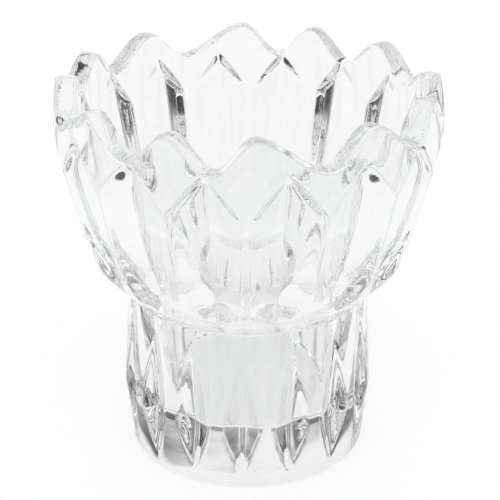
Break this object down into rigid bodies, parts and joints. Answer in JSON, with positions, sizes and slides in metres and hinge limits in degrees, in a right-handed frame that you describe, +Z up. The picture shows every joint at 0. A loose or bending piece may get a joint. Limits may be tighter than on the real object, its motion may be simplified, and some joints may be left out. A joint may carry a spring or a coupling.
{
  "type": "flower frog",
  "caption": "Thick pressed-glass flower frog: a flared, fluted bowl with a petalled wavy rim on a drum foot with a round stem well.",
  "frame": {"origin": "centre of the flat resting face, at the bottom centre of the bounding box", "axes": "+Z up along the axis of symmetry; -Y is the side seen first, where one petal tip of the rim stands almost in the middle; +X to its right"},
  "size_m": [0.1284, 0.1284, 0.133],
  "materials": {
    "clear_glass": "clear colourless pressed glass, fire-polished, with a ground resting face"
  },
  "bodies": {
    "root": {"bowl": "clear_glass", "foot": "clear_glass"}
  },
  "joints": []
}
